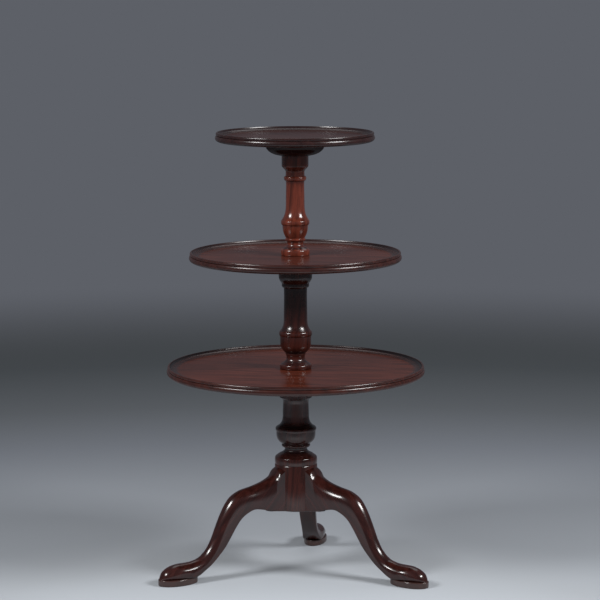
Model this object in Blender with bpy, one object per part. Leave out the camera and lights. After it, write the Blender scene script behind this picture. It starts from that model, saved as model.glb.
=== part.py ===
"""Three-tier dumb-waiter table.

Three dished round tiers turn on a baluster column, which stands on three cabriole legs.
Metres, +Z up. The front of the table is -Y, between two legs.
"""

import math
from collections import namedtuple

import bmesh
import bpy
from mathutils import Matrix, Vector

# Fits
FIT = 0.0003  # gap between two pieces that touch
PIVOT_CLEARANCE = 0.0004  # running clearance of a tier round its pivot
OVERRUN = 0.002  # how far a cutter runs past the faces that it cuts
MERGE_DISTANCE = 0.000001

# Facets of the round pieces
COLUMN_SEGMENTS = 24
TIER_SEGMENTS = 48
PAD_SEGMENTS = 20
SCREW_SEGMENTS = 8
CROWN_STEPS = 5
SMOOTH_ANGLE = math.radians(40)

# Tiers
LOWER_TIER_RADIUS = 0.306
MIDDLE_TIER_RADIUS = 0.251
TOP_TIER_RADIUS = 0.1875
LOWER_TIER_HEIGHT = 0.473  # floor to the underside of the lower tier
MIDDLE_TIER_RISE = 0.271  # underside of the lower tier to underside of the middle one
TOP_TIER_RISE = 0.2825  # underside of the middle tier to underside of the top one
RIM_HEIGHT = 0.022
RIM_WIDTH = 0.020
DISH_DEPTH = 0.008

# Turned bosses under the tiers
BOSS_RADIUS = 0.071
LOWER_BOSS_DEPTH = 0.026
MIDDLE_BOSS_DEPTH = 0.022
TOP_BOSS_DEPTH = 0.0325
BOSS_SCREW_COUNT = 4

# Column: greatest radius of each section, and the pedestal's drum that carries the legs
PEDESTAL_CLEARANCE = 0.149  # floor to the underside of the pedestal
LOWER_COLUMN_RADIUS = 0.0505
MIDDLE_COLUMN_RADIUS = 0.040
UPPER_COLUMN_RADIUS = 0.034
DRUM_RADIUS = 0.0505
DRUM_HEIGHT = 0.107
DRUM_EDGE = 0.003

# Pivots that the tiers turn on, and the screwed spigots below them
LOWER_PIVOT_RADIUS = 0.017
MIDDLE_PIVOT_RADIUS = 0.0155
TOP_PIVOT_RADIUS = 0.014
MIDDLE_SPIGOT_RADIUS = 0.0125
UPPER_SPIGOT_RADIUS = 0.0115
SPIGOT_LENGTH = 0.044
TOP_PIVOT_END_GAP = 0.0015

# Cabriole legs and their pad feet
LEG_COUNT = 3
LEG_REACH = 0.362  # column axis to toe
REAR_LEG_REACH = 0.320
REAR_LEG_SKEW = math.radians(7.5)  # the rear leg stands off the even spacing, towards the right one
LEG_ROOT_WIDTH = 0.054
SEAT_LENGTH = 0.040  # straight stretch under the root, where the brace lies
SEAT_SLOPE_SHARE = 0.10  # rise of that stretch over its length
PAD_LENGTH = 0.099
PAD_WIDTH = 0.055
PAD_HEIGHT = 0.015
PAD_EDGE = 0.0022
PAD_FULLNESS_SHARE = 0.12  # how much wider the pad is towards the toe

# Sliding dovetails between the legs and the pedestal
TONGUE_LENGTH = 0.086
TONGUE_DEPTH = 0.014
TONGUE_NECK = 0.014
TONGUE_BACK = 0.020
TONGUE_SETBACK = 0.001
TONGUE_OVERLAP = 0.004

# Iron brace under the pedestal
BRACE_THICKNESS = 0.0025
BRACE_ARM_WIDTH = 0.018
BRACE_WAIST_RADIUS = 0.019
BRACE_REACH_SHARE = 0.95  # of the seat's length

# Countersunk wood screws
SCREW_HEAD_RADIUS = 0.0042
SCREW_SHANK_RADIUS = 0.0021
SCREW_LIP = 0.0003
SCREW_POINT = 0.003
SCREW_SLOT_WIDTH = 0.0009
SCREW_SLOT_DEPTH = 0.0010
BRACE_SCREW_LENGTH = 0.016
BOSS_SCREW_RECESS = 0.006
BOSS_SCREW_BITE_SHARE = 0.6  # of the board's thickness
BRACE_SCREW_SHARES = (("inner", 0.3), ("outer", 1.0))  # of the way from the bend to the arm's end

# Turned outlines, bottom to top: kind of curve, share of the radius, share of the height
DRUM_TOP_SHARES = (
    ("line", 0.975, 0.010),
    ("to_upright", 1.000, 0.055),
    ("to_level", 0.950, 0.105),
    ("line", 0.800, 0.135),
    ("rising", 0.530, 0.192),
    ("line", 0.525, 0.212),
    ("to_level", 0.640, 0.226),
    ("to_upright", 0.672, 0.240),
    ("to_level", 0.640, 0.258),
    ("line", 0.672, 0.268),
    ("swift", 0.925, 0.425),
    ("to_upright", 0.963, 0.453),
    ("to_level", 0.873, 0.481),
    ("swift", 0.618, 0.660),
    ("line", 0.602, 0.775),
    ("to_level", 0.757, 0.850),
    ("line", 0.757, 0.880),
    ("to_upright", 0.800, 0.935),
    ("line", 0.800, 1.000),
)
MIDDLE_TURNING_SHARES = (
    ("line", 0.900, 0.000),
    ("to_upright", 0.945, 0.020),
    ("to_level", 0.900, 0.045),
    ("rising", 0.545, 0.110),
    ("to_level", 0.600, 0.145),
    ("line", 0.600, 0.160),
    ("line", 0.630, 0.164),
    ("rising", 0.910, 0.250),
    ("line", 0.925, 0.335),
    ("to_upright", 0.980, 0.364),
    ("to_level", 0.900, 0.388),
    ("swift", 0.697, 0.560),
    ("line", 0.683, 0.740),
    ("line", 0.690, 0.825),
    ("to_upright", 0.812, 0.850),
    ("line", 0.808, 0.872),
    ("rising", 0.995, 0.945),
    ("line", 1.000, 1.000),
)
UPPER_TURNING_SHARES = (
    ("line", 0.955, 0.000),
    ("to_upright", 1.000, 0.026),
    ("to_level", 0.955, 0.059),
    ("line", 0.905, 0.065),
    ("rising", 0.550, 0.112),
    ("to_level", 0.705, 0.153),
    ("line", 0.705, 0.165),
    ("line", 0.645, 0.173),
    ("rising", 0.890, 0.290),
    ("line", 0.900, 0.305),
    ("to_upright", 0.990, 0.330),
    ("to_level", 0.950, 0.352),
    ("swift", 0.650, 0.571),
    ("line", 0.632, 0.713),
    ("line", 0.645, 0.746),
    ("to_upright", 0.780, 0.777),
    ("to_level", 0.660, 0.795),
    ("line", 0.650, 0.838),
    ("ogee", 0.932, 0.901),
    ("line", 0.932, 1.000),
)
# The rim, from the board's underside to the top of its upper bead: share of the rim's width
RIM_TURNING_SHARES = (
    ("line", 0.400, 0.000),
    ("to_upright", 1.000, 0.360),
    ("to_level", 0.840, 0.660),
    ("line", 0.800, 0.680),
    ("to_upright", 0.910, 0.840),
    ("to_level", 0.780, 1.000),
    ("line", 0.660, 1.000),
)
BOSS_TURNING_SHARES = (
    ("line", 0.000, 0.000),
    ("to_upright", 1.000, 0.850),
    ("line", 1.000, 1.000),
)

# Leg outline above the brace's seat: top reach, top height, share of the seat, width, crown.
# Reaches are shares of the way from the root to the heel, heights of the root's top, crowns of the width.
LEG_ROOT_SHARES = (
    (0.055, 0.972, 0.41, 1.000, 0.24),
    (0.100, 0.919, 0.71, 0.990, 0.30),
    (0.214, 0.868, 1.00, 0.980, 0.36),
)
# Knee to ankle: top reach, top height, underside reach, underside height, width
LEG_SHAFT_SHARES = (
    (0.354, 0.832, 0.244, 0.617, 0.967),
    (0.488, 0.805, 0.353, 0.630, 0.934),
    (0.594, 0.755, 0.442, 0.600, 0.892),
    (0.666, 0.680, 0.514, 0.551, 0.842),
    (0.725, 0.587, 0.576, 0.476, 0.793),
    (0.780, 0.480, 0.630, 0.398, 0.754),
    (0.834, 0.370, 0.694, 0.310, 0.723),
    (0.897, 0.281, 0.769, 0.234, 0.707),
    (0.981, 0.217, 0.851, 0.166, 0.724),
    (1.078, 0.192, 0.944, 0.110, 0.791),
)
# Foot: top reach, top height, underside reach, underside height, width, lower corner.
# Reaches are shares of the pad's length from the heel, undersides of its height, widths of its width.
LEG_FOOT_SHARES = (
    (0.375, 0.187, 0.031, 1.24, 0.858, 0.10),
    (0.575, 0.182, 0.156, 0.94, 0.922, 0.17),
    (0.755, 0.163, 0.499, 0.94, 0.898, 0.18),
    (0.884, 0.130, 0.741, 0.94, 0.748, 0.18),
    (0.950, 0.092, 0.860, 0.90, 0.520, 0.18),
    (0.985, 0.064, 0.930, 0.80, 0.260, 0.18),
)
# Leg section: the crowned top's height and the rounded lower corners, as shares of the width
ROOT_CROWN_SHARE = 0.20
CROWN_SHARE = 0.42
CROWN_LIMIT_SHARE = 0.55  # of the section's depth
CORNER_SHARE = 0.07
ARRIS_ANGLE = math.radians(20)

MOULDINGS = {
    "line": (1, lambda t: (t, t)),
    "to_level": (3, lambda t: (1 - math.cos(t * math.pi / 2), math.sin(t * math.pi / 2))),
    "to_upright": (3, lambda t: (math.sin(t * math.pi / 2), 1 - math.cos(t * math.pi / 2))),
    "rising": (4, lambda t: (1 - (1 - t) ** 2, t)),
    "swift": (5, lambda t: (1 - (1 - t) ** 4, t)),
    "ogee": (5, lambda t: ((1 - math.cos(t * math.pi)) / 2, t)),
}

Tier = namedtuple("Tier", "name radius underside boss_depth boss_foot_radius pivot_radius")


# Heights and radii that follow from the sizes above

LOWER_UNDERSIDE = LOWER_TIER_HEIGHT
MIDDLE_UNDERSIDE = LOWER_UNDERSIDE + MIDDLE_TIER_RISE
TOP_UNDERSIDE = MIDDLE_UNDERSIDE + TOP_TIER_RISE
BOARD_THICKNESS = RIM_HEIGHT - DISH_DEPTH
DRUM_TOP = PEDESTAL_CLEARANCE + DRUM_HEIGHT
LOWER_HEAD = LOWER_UNDERSIDE - LOWER_BOSS_DEPTH - FIT
MIDDLE_HEAD = MIDDLE_UNDERSIDE - MIDDLE_BOSS_DEPTH - FIT
TOP_HEAD = TOP_UNDERSIDE - TOP_BOSS_DEPTH - FIT
MIDDLE_FOOT = LOWER_UNDERSIDE + BOARD_THICKNESS + FIT
UPPER_FOOT = MIDDLE_UNDERSIDE + BOARD_THICKNESS + FIT
LEG_FLAT = math.sqrt(DRUM_RADIUS**2 - (LEG_ROOT_WIDTH / 2) ** 2)  # axis to the flats on the drum
LEG_ROOT = LEG_FLAT + FIT
LEG_NAMES = ("rear", "left", "right")
LEG_REACHES = (REAR_LEG_REACH, LEG_REACH, LEG_REACH)
LEG_ANGLES = [math.pi / 2 + number * 2 * math.pi / LEG_COUNT for number in range(LEG_COUNT)]
LEG_ANGLES[0] -= REAR_LEG_SKEW
BRACE_TOP = PEDESTAL_CLEARANCE - FIT
SEAT_TILT = math.atan(SEAT_SLOPE_SHARE)
BRACE_BEND = LEG_ROOT + FIT * (1 / math.cos(SEAT_TILT) - 1) / SEAT_SLOPE_SHARE
BRACE_END = LEG_ROOT + BRACE_REACH_SHARE * SEAT_LENGTH

TIERS = (
    Tier(
        "lower_tier",
        LOWER_TIER_RADIUS,
        LOWER_UNDERSIDE,
        LOWER_BOSS_DEPTH,
        DRUM_TOP_SHARES[-1][1] * LOWER_COLUMN_RADIUS,
        LOWER_PIVOT_RADIUS,
    ),
    Tier(
        "middle_tier",
        MIDDLE_TIER_RADIUS,
        MIDDLE_UNDERSIDE,
        MIDDLE_BOSS_DEPTH,
        MIDDLE_TURNING_SHARES[-1][1] * MIDDLE_COLUMN_RADIUS,
        MIDDLE_PIVOT_RADIUS,
    ),
    Tier(
        "top_tier",
        TOP_TIER_RADIUS,
        TOP_UNDERSIDE,
        TOP_BOSS_DEPTH,
        UPPER_TURNING_SHARES[-1][1] * UPPER_COLUMN_RADIUS,
        TOP_PIVOT_RADIUS,
    ),
)


# Scene, materials and meshes


def clear_scene():
    for obj in list(bpy.data.objects):
        bpy.data.objects.remove(obj, do_unlink=True)


def linear(channel):
    """One sRGB channel, 0 to 255, as a linear value."""
    value = channel / 255
    return value / 12.92 if value <= 0.04045 else ((value + 0.055) / 1.055) ** 2.4


def finish(name, srgb, roughness, metallic):
    material = bpy.data.materials.new(name)
    material.use_nodes = True
    shader = material.node_tree.nodes["Principled BSDF"]
    shader.inputs["Base Color"].default_value = (*map(linear, srgb), 1)
    shader.inputs["Roughness"].default_value = roughness
    shader.inputs["Metallic"].default_value = metallic
    return material


def finished_mesh(name, bm):
    bmesh.ops.remove_doubles(bm, verts=bm.verts, dist=MERGE_DISTANCE)
    bmesh.ops.recalc_face_normals(bm, faces=bm.faces)
    mesh = bpy.data.meshes.new(name)
    bm.to_mesh(mesh)
    bm.free()
    mesh.shade_smooth()
    mesh.set_sharp_from_angle(angle=SMOOTH_ANGLE)
    return mesh


def place_object(name, mesh, material, parent, location=(0, 0, 0)):
    obj = bpy.data.objects.new(name, mesh)
    bpy.context.scene.collection.objects.link(obj)
    obj.parent = parent
    obj.location = location
    if material is not None:
        mesh.materials.clear()
        mesh.materials.append(material)
    return obj


def place_cutter(name, mesh, parent):
    cutter = place_object(name, mesh, None, parent)
    cutter.hide_render = True
    cutter.display_type = "WIRE"
    return cutter


def combine(obj, other, operation):
    modifier = obj.modifiers.new(other.name, "BOOLEAN")
    modifier.operation = operation
    modifier.object = other


def baked_mesh(obj, helpers):
    """The mesh of obj with its modifiers applied. The object and its helpers are removed."""
    graph = bpy.context.evaluated_depsgraph_get()
    mesh = bpy.data.meshes.new_from_object(obj.evaluated_get(graph))
    for used in [obj, *helpers]:
        bpy.data.objects.remove(used, do_unlink=True)
    mesh.shade_smooth()
    mesh.set_sharp_from_angle(angle=SMOOTH_ANGLE)
    return mesh


# Turned pieces


def moulding(kind, start, end):
    """Points after start, up to end, of one curve of a turned outline."""
    steps, curve = MOULDINGS[kind]
    for step in range(1, steps + 1):
        across, up = curve(step / steps)
        yield (
            start[0] + across * (end[0] - start[0]),
            start[1] + up * (end[1] - start[1]),
        )


def turning(shares, inner_radius, outer_radius, foot, head):
    """Outline points of a table of shares, between two radii and two heights."""
    outline = []
    for kind, across, up in shares:
        end = (
            inner_radius + across * (outer_radius - inner_radius),
            foot + up * (head - foot),
        )
        if outline:
            outline += moulding(kind, outline[-1], end)
        else:
            outline.append(end)
    return outline


def turned_mesh(name, outline, segments):
    """A solid of revolution round Z. The outline either starts and ends on the axis or is a loop."""
    bm = bmesh.new()
    verts = [bm.verts.new((radius, 0, height)) for radius, height in outline]
    pairs = list(zip(verts, verts[1:]))
    if outline[0][0] > 0:
        pairs.append((verts[-1], verts[0]))
    edges = [bm.edges.new(pair) for pair in pairs]
    bmesh.ops.spin(
        bm,
        geom=verts + edges,
        cent=(0, 0, 0),
        axis=(0, 0, 1),
        angle=2 * math.pi,
        steps=segments,
        use_merge=True,
    )
    return finished_mesh(name, bm)


def round_hole(radius, clearance):
    """Radius of a faceted hole whose flats clear a pin of this radius."""
    return (radius + clearance) / math.cos(math.pi / COLUMN_SEGMENTS)


def socket(radius, head):
    """Outline of a blind socket for a spigot, from its mouth in the head to its floor."""
    bore = round_hole(radius, FIT)
    floor = head - SPIGOT_LENGTH - FIT
    return [(bore, head), (bore, floor), (0, floor)]


def spigot(radius, pivot_radius, head_below, foot):
    """Outline of a spigot and the pivot above it, from the spigot's end to the section's foot."""
    shoulder = head_below + FIT
    end = shoulder - SPIGOT_LENGTH
    return [(0, end), (radius, end), (radius, shoulder), (pivot_radius, shoulder), (pivot_radius, foot)]


def lower_column_outline():
    bottom = PEDESTAL_CLEARANCE
    outline = [(0, bottom), (DRUM_RADIUS - DRUM_EDGE, bottom)]
    outline += moulding("to_upright", outline[-1], (DRUM_RADIUS, bottom + DRUM_EDGE))
    outline.append((DRUM_RADIUS, DRUM_TOP))
    outline += turning(DRUM_TOP_SHARES, 0, LOWER_COLUMN_RADIUS, DRUM_TOP, LOWER_HEAD)
    return outline + socket(MIDDLE_SPIGOT_RADIUS, LOWER_HEAD)


def middle_column_outline():
    outline = spigot(MIDDLE_SPIGOT_RADIUS, LOWER_PIVOT_RADIUS, LOWER_HEAD, MIDDLE_FOOT)
    outline += turning(MIDDLE_TURNING_SHARES, 0, MIDDLE_COLUMN_RADIUS, MIDDLE_FOOT, MIDDLE_HEAD)
    return outline + socket(UPPER_SPIGOT_RADIUS, MIDDLE_HEAD)


def upper_column_outline():
    outline = spigot(UPPER_SPIGOT_RADIUS, MIDDLE_PIVOT_RADIUS, MIDDLE_HEAD, UPPER_FOOT)
    outline += turning(UPPER_TURNING_SHARES, 0, UPPER_COLUMN_RADIUS, UPPER_FOOT, TOP_HEAD)
    pin_end = TOP_UNDERSIDE - TOP_PIVOT_END_GAP
    return outline + [(TOP_PIVOT_RADIUS, TOP_HEAD), (TOP_PIVOT_RADIUS, pin_end), (0, pin_end)]


def board_outline(tier, bore):
    """Outline of a tier's board about its own underside, with a bore of this radius or none."""
    inner = tier.radius - RIM_WIDTH
    rim = turning(RIM_TURNING_SHARES, inner, tier.radius, 0, RIM_HEIGHT)
    dish = moulding("to_level", rim[-1], (inner, BOARD_THICKNESS))
    return [(bore, 0), *rim, *dish, (bore, BOARD_THICKNESS)]


def boss_outline(tier, bore):
    """Outline of the boss under a tier, about the tier's underside."""
    foot = -tier.boss_depth
    turned = turning(BOSS_TURNING_SHARES, tier.boss_foot_radius, BOSS_RADIUS, foot, -FIT)
    return [(bore, foot), *turned, (bore, -FIT)]


# Screws


def screw_outline(length, grow, mouth):
    """Outline of a countersunk screw that points up, grown all round, with its face drawn down."""
    head = SCREW_HEAD_RADIUS + grow
    shank = SCREW_SHANK_RADIUS + grow
    cone = SCREW_LIP + SCREW_HEAD_RADIUS - SCREW_SHANK_RADIUS
    return [
        (0, -mouth),
        (head, -mouth),
        (head, SCREW_LIP),
        (shank, cone),
        (shank, length - SCREW_POINT + grow),
        (0, length + grow),
    ]


def screw_mesh(name, length):
    screw = place_object(name, turned_mesh(name, screw_outline(length, 0, 0), SCREW_SEGMENTS), None, None)
    bm = bmesh.new()
    bmesh.ops.create_cube(bm, size=1)
    bmesh.ops.scale(
        bm, vec=(SCREW_SLOT_WIDTH, 4 * SCREW_HEAD_RADIUS, 2 * SCREW_SLOT_DEPTH), verts=bm.verts
    )
    slot = place_object(name + "_slot", finished_mesh(name + "_slot", bm), None, None)
    combine(screw, slot, "DIFFERENCE")
    return baked_mesh(screw, [slot])


def hole_mesh(name, length, mouth, places):
    """Screw holes, one closed body at each place."""
    hole = turned_mesh(name, screw_outline(length, FIT, mouth), SCREW_SEGMENTS)
    bm = bmesh.new()
    for place in places:
        copy = hole.copy()
        copy.transform(place)
        bm.from_mesh(copy)
        bpy.data.meshes.remove(copy)
    return finished_mesh(name, bm)


def boss_screw_length(tier):
    return tier.boss_depth - BOSS_SCREW_RECESS + BOSS_SCREW_BITE_SHARE * BOARD_THICKNESS


def boss_screw_places(tier):
    """Places of the screws under a boss, about the tier's underside."""
    circle = (tier.boss_foot_radius + BOSS_RADIUS) / 2
    height = BOSS_SCREW_RECESS - tier.boss_depth
    for number in range(BOSS_SCREW_COUNT):
        angle = (number + 0.5) * 2 * math.pi / BOSS_SCREW_COUNT
        yield Matrix.Translation((circle * math.cos(angle), circle * math.sin(angle), height))


# Legs, in a frame with +X pointing outwards along the leg


def seat_height(reach):
    """Height of the straight stretch under the leg's root."""
    return PEDESTAL_CLEARANCE + SEAT_SLOPE_SHARE * (reach - LEG_ROOT)


def leg_stations(reach):
    """The sections of a leg of this reach, from the root to the toe.

    Each is its top point, its underside point, its width, and its crown and lower corner as shares of that.
    """
    heel = reach - PAD_LENGTH
    span = heel - LEG_ROOT
    root_top = (LEG_ROOT, DRUM_TOP)
    root_under = (LEG_ROOT, PEDESTAL_CLEARANCE)
    stations = [(root_top, root_under, LEG_ROOT_WIDTH, ROOT_CROWN_SHARE, CORNER_SHARE)]
    for along, height, seat, width, crown in LEG_ROOT_SHARES:
        under = LEG_ROOT + seat * SEAT_LENGTH
        top = (LEG_ROOT + along * span, height * DRUM_TOP)
        stations.append((top, (under, seat_height(under)), width * LEG_ROOT_WIDTH, crown, CORNER_SHARE))
    for along, height, under, low, width in LEG_SHAFT_SHARES:
        top = (LEG_ROOT + along * span, height * DRUM_TOP)
        below = (LEG_ROOT + under * span, low * DRUM_TOP)
        stations.append((top, below, width * LEG_ROOT_WIDTH, CROWN_SHARE, CORNER_SHARE))
    for along, height, under, low, width, corner in LEG_FOOT_SHARES:
        top = (heel + along * PAD_LENGTH, height * DRUM_TOP)
        below = (heel + under * PAD_LENGTH, low * PAD_HEIGHT)
        stations.append((top, below, width * PAD_WIDTH, CROWN_SHARE, corner))
    return stations


def leg_section(width, depth, crown_share, corner_share):
    """Half of a leg's section: places across and up, from the lower corner to the crown."""
    half = width / 2
    corner = corner_share * width
    crown = min(crown_share * width, CROWN_LIMIT_SHARE * depth)
    section = [(half - corner, 0), (half, corner)]
    for step in range(CROWN_STEPS + 1):
        angle = ARRIS_ANGLE + step / CROWN_STEPS * (math.pi / 2 - ARRIS_ANGLE)
        rise = (math.sin(angle) - math.sin(ARRIS_ANGLE)) / (1 - math.sin(ARRIS_ANGLE))
        section.append((half * math.cos(angle) / math.cos(ARRIS_ANGLE), depth - crown * (1 - rise)))
    section[-1] = (0, depth)
    return section


def leg_ring(top, under, width, crown_share, corner_share):
    """Points round one section of the leg."""
    top = Vector((top[0], 0, top[1]))
    under = Vector((under[0], 0, under[1]))
    depth = (top - under).length
    rise = (top - under) / depth
    half = leg_section(width, depth, crown_share, corner_share)
    mirrored = [(-across, up) for across, up in reversed(half[:-1])]
    return [under + Vector((0, across, 0)) + up * rise for across, up in half + mirrored]


def lofted_mesh(name, rings):
    """A closed skin over rings of points that match one to one."""
    bm = bmesh.new()
    loops = [[bm.verts.new(point) for point in ring] for ring in rings]
    edges = [[bm.edges.new(pair) for pair in zip(loop, loop[1:] + loop[:1])] for loop in loops]
    for near, far in zip(edges, edges[1:]):
        bmesh.ops.bridge_loops(bm, edges=near + far)
    bm.faces.new(loops[0])
    bm.faces.new(loops[-1])
    return finished_mesh(name, bm)


def pad_ring(reach, inset, height):
    """An oval round the sole of a leg of this reach, wider towards the toe."""
    length = PAD_LENGTH / 2 - inset
    width = PAD_WIDTH / 2 - inset
    centre = reach - PAD_LENGTH / 2
    ring = []
    for number in range(PAD_SEGMENTS):
        angle = number * 2 * math.pi / PAD_SEGMENTS
        fullness = 1 + PAD_FULLNESS_SHARE * math.cos(angle)
        ring.append((centre + length * math.cos(angle), width * fullness * math.sin(angle), height))
    return ring


def pad_rings(reach):
    return [
        pad_ring(reach, PAD_EDGE, 0),
        pad_ring(reach, 0, PAD_EDGE),
        pad_ring(reach, 0, PAD_HEIGHT - PAD_EDGE),
        pad_ring(reach, PAD_EDGE, PAD_HEIGHT),
    ]


def rear_extent():
    """How far the rear pad reaches behind the column axis."""
    turn = Matrix.Rotation(LEG_ANGLES[0], 3, "Z")
    return max((turn @ Vector(point)).y for point in pad_ring(REAR_LEG_REACH, 0, 0))


def tongue_mesh(name, grow, bottom, outer):
    """A dovetail that points at the axis, grown all round, from this height and out to this reach."""
    back = LEG_FLAT - TONGUE_DEPTH - grow
    neck = TONGUE_NECK / 2 + grow
    wide = TONGUE_BACK / 2 + grow
    plan = [(back, -wide), (LEG_FLAT, -neck), (outer, -neck), (outer, neck), (LEG_FLAT, neck), (back, wide)]
    top = PEDESTAL_CLEARANCE + TONGUE_SETBACK + TONGUE_LENGTH + grow
    bm = bmesh.new()
    face = bm.faces.new([bm.verts.new((across, along, bottom)) for across, along in plan])
    grown = bmesh.ops.extrude_face_region(bm, geom=[face])
    raised = [item for item in grown["geom"] if isinstance(item, bmesh.types.BMVert)]
    bmesh.ops.translate(bm, vec=(0, 0, top - bottom), verts=raised)
    return finished_mesh(name, bm)


def brace_screw_places():
    """Name and place of each screw in one arm, in the leg's frame: its head lies in the arm's lower face."""
    last = BRACE_END - BRACE_ARM_WIDTH / 2
    for name, share in BRACE_SCREW_SHARES:
        reach = BRACE_BEND + share * (last - BRACE_BEND)
        height = BRACE_TOP - BRACE_THICKNESS + SEAT_SLOPE_SHARE * (reach - BRACE_BEND)
        turn = Matrix.Rotation(-SEAT_TILT, 4, "Y")
        yield name, Matrix.Translation((reach, 0, height)) @ turn


def leg_mesh(reach):
    """One leg with its pad, its dovetail and the pilot holes for the brace's screws."""
    rings = [leg_ring(*station) for station in leg_stations(reach)]
    leg = place_object("leg", lofted_mesh("leg", rings), None, None)
    tongue_bottom = PEDESTAL_CLEARANCE + TONGUE_SETBACK
    tongue = tongue_mesh("tongue", 0, tongue_bottom, LEG_ROOT + TONGUE_OVERLAP)
    places = [place for _, place in brace_screw_places()]
    helpers = [
        place_object("tongue", tongue, None, None),
        place_object("pad", lofted_mesh("pad", pad_rings(reach)), None, None),
        place_object("pilots", hole_mesh("pilots", BRACE_SCREW_LENGTH, OVERRUN, places), None, None),
    ]
    for helper, operation in zip(helpers, ("UNION", "UNION", "DIFFERENCE")):
        combine(leg, helper, operation)
    return baked_mesh(leg, helpers)


# Brace


def brace_arm(angle):
    """Plan of one arm, from the bend on its right side round the end to the bend on its left."""
    along = Vector((math.cos(angle), math.sin(angle), 0))
    side = Vector((-math.sin(angle), math.cos(angle), 0))
    half = BRACE_ARM_WIDTH / 2
    plan = [along * BRACE_BEND - side * half]
    for step in range(CROWN_STEPS + 1):
        turn = math.pi * (step / CROWN_STEPS - 0.5)
        reach = BRACE_END - half + half * math.cos(turn)
        plan.append(along * reach + side * half * math.sin(turn))
    plan.append(along * BRACE_BEND + side * half)
    return plan


def brace_mesh():
    """The strap cut flat, given its thickness, and its arms bent up under the legs."""
    bm = bmesh.new()
    hub = []
    for angle in LEG_ANGLES:
        arm = [bm.verts.new(point) for point in brace_arm(angle)]
        bm.faces.new(arm)
        waist = angle + math.pi / LEG_COUNT
        between = (BRACE_WAIST_RADIUS * math.cos(waist), BRACE_WAIST_RADIUS * math.sin(waist), 0)
        hub += [arm[0], arm[-1], bm.verts.new(between)]
    bm.faces.new(hub)
    grown = bmesh.ops.extrude_face_region(bm, geom=bm.faces[:])
    lowered = [item for item in grown["geom"] if isinstance(item, bmesh.types.BMVert)]
    bmesh.ops.translate(bm, vec=(0, 0, -BRACE_THICKNESS), verts=lowered)
    for vert in bm.verts:
        reach = max(vert.co.x * math.cos(angle) + vert.co.y * math.sin(angle) for angle in LEG_ANGLES)
        vert.co.z += BRACE_TOP + SEAT_SLOPE_SHARE * max(reach - BRACE_BEND, 0)
    return finished_mesh("leg_brace", bm)


def brace_hole_places():
    """All the brace's screws about the column axis, the middle one first."""
    places = [Matrix.Translation((0, 0, BRACE_TOP - BRACE_THICKNESS))]
    for angle in LEG_ANGLES:
        turn = Matrix.Rotation(angle, 4, "Z")
        places += [turn @ place for _, place in brace_screw_places()]
    return places


# Assembly


def joined_by_turning(name, mesh, angles):
    """Copies of a mesh turned round the column axis, as one mesh."""
    bm = bmesh.new()
    for angle in angles:
        copy = mesh.copy()
        copy.transform(Matrix.Rotation(angle, 4, "Z"))
        bm.from_mesh(copy)
        bpy.data.meshes.remove(copy)
    return finished_mesh(name, bm)


def flat_cutter_mesh():
    """A block outside one flat of the drum, from below the pedestal to the drum's top."""
    outer = LOWER_COLUMN_RADIUS + OVERRUN
    bottom = PEDESTAL_CLEARANCE - OVERRUN
    bm = bmesh.new()
    bmesh.ops.create_cube(bm, size=1)
    bmesh.ops.scale(bm, vec=(outer - LEG_FLAT, 2 * outer, DRUM_TOP + FIT - bottom), verts=bm.verts)
    middle = Vector(((outer + LEG_FLAT) / 2, 0, (DRUM_TOP + FIT + bottom) / 2))
    bmesh.ops.translate(bm, vec=middle, verts=bm.verts)
    return finished_mesh("flat", bm)


def build_lower_column(axis, wood, brace_holes):
    mesh = turned_mesh("lower_column", lower_column_outline(), COLUMN_SEGMENTS)
    column = place_object("lower_column", mesh, wood, axis)
    slot = tongue_mesh("slot", FIT, PEDESTAL_CLEARANCE - OVERRUN, LOWER_COLUMN_RADIUS + OVERRUN)
    flats = joined_by_turning("leg_flats", flat_cutter_mesh(), LEG_ANGLES)
    slots = joined_by_turning("dovetail_slots", slot, LEG_ANGLES)
    combine(column, place_cutter("leg_flats", flats, axis), "DIFFERENCE")
    combine(column, place_cutter("dovetail_slots", slots, axis), "DIFFERENCE")
    combine(column, brace_holes, "DIFFERENCE")


def build_columns(axis, wood, brace_holes):
    build_lower_column(axis, wood, brace_holes)
    middle = turned_mesh("middle_column", middle_column_outline(), COLUMN_SEGMENTS)
    upper = turned_mesh("upper_column", upper_column_outline(), COLUMN_SEGMENTS)
    place_object("middle_column", middle, wood, axis)
    place_object("upper_column", upper, wood, axis)


def build_tier(tier, axis, board_wood, boss_wood, iron):
    """The board with its boss and screws, about an origin on the axis at the board's underside."""
    bore = round_hole(tier.pivot_radius, PIVOT_CLEARANCE)
    board_bore = 0 if tier is TIERS[-1] else bore
    place = (0, 0, tier.underside)
    board_mesh = turned_mesh(tier.name, board_outline(tier, board_bore), TIER_SEGMENTS)
    board = place_object(tier.name, board_mesh, board_wood, axis, place)
    boss_mesh = turned_mesh(tier.name + "_boss", boss_outline(tier, bore), COLUMN_SEGMENTS)
    boss = place_object(tier.name + "_boss", boss_mesh, boss_wood, board)
    length = boss_screw_length(tier)
    places = list(boss_screw_places(tier))
    mouth = BOSS_SCREW_RECESS + OVERRUN
    holes = place_cutter(
        tier.name + "_screw_holes", hole_mesh(tier.name + "_holes", length, mouth, places), board
    )
    combine(board, holes, "DIFFERENCE")
    combine(boss, holes, "DIFFERENCE")
    screw = screw_mesh(tier.name + "_screw", length)
    for number, spot in enumerate(places, 1):
        place_object(f"{tier.name}_screw_{number}", screw, iron, board, spot.translation)


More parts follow.
